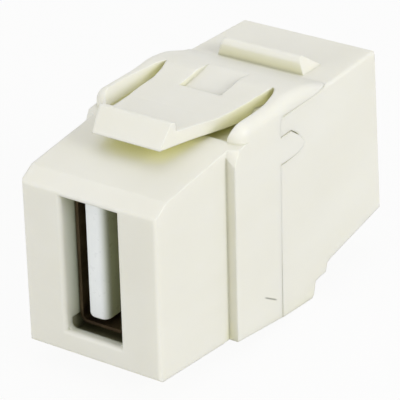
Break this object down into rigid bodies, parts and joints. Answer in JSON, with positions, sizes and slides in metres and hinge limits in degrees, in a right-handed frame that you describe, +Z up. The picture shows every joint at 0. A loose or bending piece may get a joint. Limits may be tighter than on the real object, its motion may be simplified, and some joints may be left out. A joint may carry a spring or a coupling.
{
  "type": "usb keystone coupler",
  "caption": "Ivory snap-in keystone coupler that joins two USB plugs through a wall plate, with a flexing top latch, a shouldered nose and a rear block.",
  "frame": {"origin": "on the front port's axis, in the plane of the shoulder faces that meet the back of the panel", "axes": "+X across the width, right seen from the front; +Y from the front face to the rear; +Z up, to the latch"},
  "size_m": [0.0164, 0.0359, 0.0233],
  "materials": {
    "ivory_plastic": "satin moulded",
    "board": "green solder mask",
    "shell_metal": "nickel plated",
    "white_plastic": "smooth",
    "contact_gold": "gold flash"
  },
  "bodies": {
    "root": {"front_housing": "ivory_plastic", "rear_housing": "ivory_plastic", "circuit_board": "board", "front_shell": "shell_metal", "rear_shell": "shell_metal", "front_insulator": "white_plastic", "rear_insulator": "white_plastic", "front_contact_1": "contact_gold", "front_contact_2": "contact_gold", "front_contact_3": "contact_gold", "front_contact_4": "contact_gold", "rear_contact_1": "contact_gold", "rear_contact_2": "contact_gold", "rear_contact_3": "contact_gold", "rear_contact_4": "contact_gold"}
  },
  "joints": []
}
